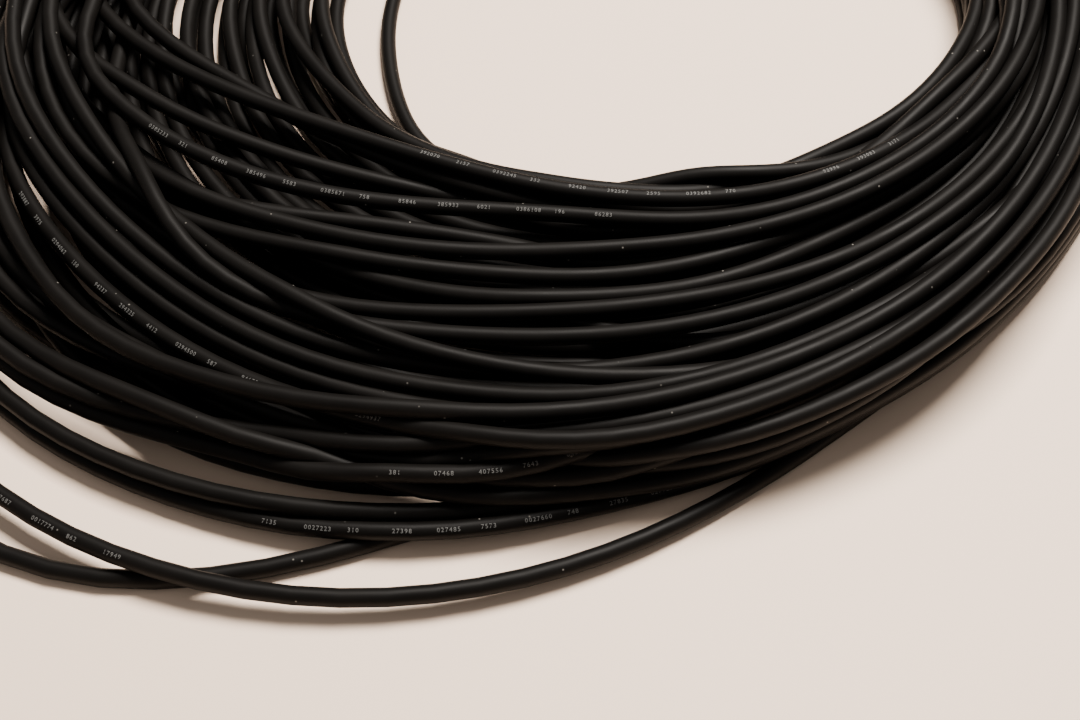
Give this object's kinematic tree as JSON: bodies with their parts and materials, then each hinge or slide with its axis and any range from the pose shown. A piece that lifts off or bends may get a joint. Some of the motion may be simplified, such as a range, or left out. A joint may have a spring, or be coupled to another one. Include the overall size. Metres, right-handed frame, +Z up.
{
  "type": "coaxial cable coil",
  "caption": "Loosely wound coil of thin black coaxial cable lying flat, tight on one side and fanned out on the other, with loose turns beside it and in its bore.",
  "frame": {"origin": "on the surface that the coil lies on, under the middle of its box", "axes": "+Z up, along the coil's axis; +X to the tight side of the coil; -Y to the near side, where the loose turns leave it"},
  "size_m": [0.458, 0.4208, 0.041],
  "materials": {
    "cable_jacket": "satin black PVC",
    "jacket_ink": "thin grey-white ink"
  },
  "bodies": {
    "root": {"cable_coil": "cable_jacket", "loose_turn_front": "cable_jacket", "loose_turn_low": "cable_jacket", "loose_turn_outer": "cable_jacket", "loose_turn_inner": "cable_jacket"}
  },
  "joints": []
}
